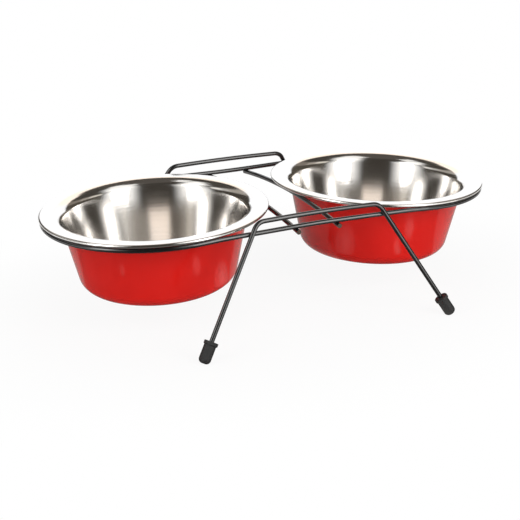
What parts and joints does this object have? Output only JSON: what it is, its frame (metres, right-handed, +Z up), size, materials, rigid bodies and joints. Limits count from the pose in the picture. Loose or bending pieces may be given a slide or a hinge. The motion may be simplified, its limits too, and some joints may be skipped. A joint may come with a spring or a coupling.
{
  "type": "double pet bowl",
  "caption": "Shallow flared metal bowls with wide rims hang side by side in a low bent-wire stand with splayed legs and rubber feet, for a pet's food and water.",
  "frame": {"origin": "on the floor, midway between the two bowls", "axes": "+X along the row of bowls to the right, +Y to the rear, +Z up"},
  "size_m": [0.3601, 0.217, 0.0905],
  "materials": {
    "bowl_shell": "stainless steel sheet: bare satin steel inside and on the rim, gloss red lacquer outside",
    "stand_wire": "steel wire with a smooth satin black coat",
    "foot_rubber": "matt black moulded rubber"
  },
  "bodies": {
    "stand": {"support_loop": "stand_wire", "cross_wire_left": "stand_wire", "cross_wire_right": "stand_wire", "front_leg_bow": "stand_wire", "rear_leg_bow": "stand_wire", "foot_front_left": "foot_rubber", "foot_front_right": "foot_rubber", "foot_rear_left": "foot_rubber", "foot_rear_right": "foot_rubber"},
    "left_bowl": {"bowl_left": "bowl_shell"},
    "right_bowl": {"bowl_right": "bowl_shell"}
  },
  "joints": [
    {"name": "left_bowl_lift", "type": "slide", "parent": "stand", "child": "left_bowl", "axis": [0, 0, 1], "range_m": [0, 0.1]},
    {"name": "right_bowl_lift", "type": "slide", "parent": "stand", "child": "right_bowl", "axis": [0, 0, 1], "range_m": [0, 0.1]}
  ]
}
